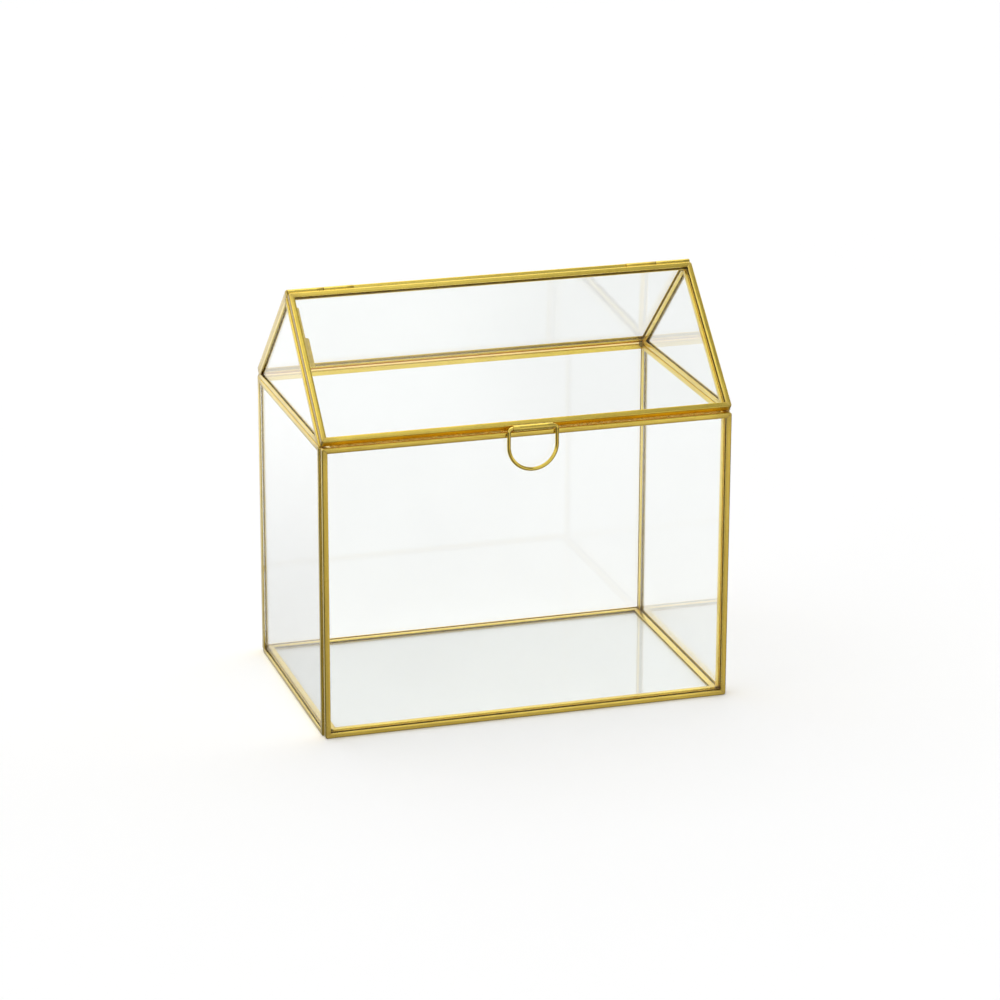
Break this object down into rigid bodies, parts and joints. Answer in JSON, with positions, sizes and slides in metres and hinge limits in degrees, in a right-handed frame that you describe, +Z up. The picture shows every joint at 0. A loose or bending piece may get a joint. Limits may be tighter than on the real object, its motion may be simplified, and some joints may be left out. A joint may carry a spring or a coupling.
{
  "type": "glass card box",
  "caption": "House-shaped clear glass box with brass-edged panes; the front roof slope is a hinged lid lifted by a D-ring, for collecting cards and envelopes.",
  "frame": {"origin": "bottom centre of the closed box's bounding box, on the surface it stands on", "axes": "+X along the ridge towards the right side, +Y from the lid side towards the back, +Z up"},
  "size_m": [0.25, 0.1594, 0.251],
  "materials": {
    "brass_channel": "satin drawn brass channel, soldered at the mitres",
    "brass_tube": "satin drawn brass tube",
    "brass_wire": "polished brass wire",
    "brass_pin": "dull brass rod",
    "clear_glass": "clear flat glass"
  },
  "bodies": {
    "body": {"front_bottom_channel": "brass_channel", "front_right_channel": "brass_channel", "front_top_channel": "brass_channel", "front_left_channel": "brass_channel", "front_glass": "clear_glass", "back_bottom_channel": "brass_channel", "back_right_channel": "brass_channel", "back_top_channel": "brass_channel", "back_left_channel": "brass_channel", "back_glass": "clear_glass", "left_bottom_channel": "brass_channel", "left_front_channel": "brass_channel", "left_top_channel": "brass_channel", "left_back_channel": "brass_channel", "left_glass": "clear_glass", "right_bottom_channel": "brass_channel", "right_front_channel": "brass_channel", "right_top_channel": "brass_channel", "right_back_channel": "brass_channel", "right_glass": "clear_glass", "floor_back_channel": "brass_channel", "floor_right_channel": "brass_channel", "floor_front_channel": "brass_channel", "floor_left_channel": "brass_channel", "floor_glass": "clear_glass", "left_gable_base_channel": "brass_channel", "left_gable_front_channel": "brass_channel", "left_gable_back_channel": "brass_channel", "left_gable_glass": "clear_glass", "right_gable_base_channel": "brass_channel", "right_gable_front_channel": "brass_channel", "right_gable_back_channel": "brass_channel", "right_gable_glass": "clear_glass", "back_roof_bottom_channel": "brass_channel", "back_roof_left_channel": "brass_channel", "back_roof_top_channel": "brass_channel", "back_roof_right_channel": "brass_channel", "back_roof_glass": "clear_glass", "left_outer_knuckle": "brass_tube", "right_outer_knuckle": "brass_tube", "left_hinge_pin": "brass_pin", "right_hinge_pin": "brass_pin"},
    "door": {"door_bottom_channel": "brass_channel", "door_right_channel": "brass_channel", "door_top_channel": "brass_channel", "door_left_channel": "brass_channel", "door_glass": "clear_glass", "left_inner_knuckle": "brass_tube", "right_inner_knuckle": "brass_tube", "pull_tube": "brass_tube"},
    "pull_ring": {"pull_ring": "brass_wire"}
  },
  "joints": [
    {"name": "lid_hinge", "type": "hinge", "parent": "body", "child": "door", "pos_m": [0, 0.00167, 0.24925], "axis": [-1, 0, 0], "range_deg": [0, 140]},
    {"name": "ring_swing", "type": "hinge", "parent": "door", "child": "pull_ring", "pos_m": [0.0012, -0.07787, 0.18008], "axis": [-1, 0, 0], "range_deg": [0, 175]}
  ]
}
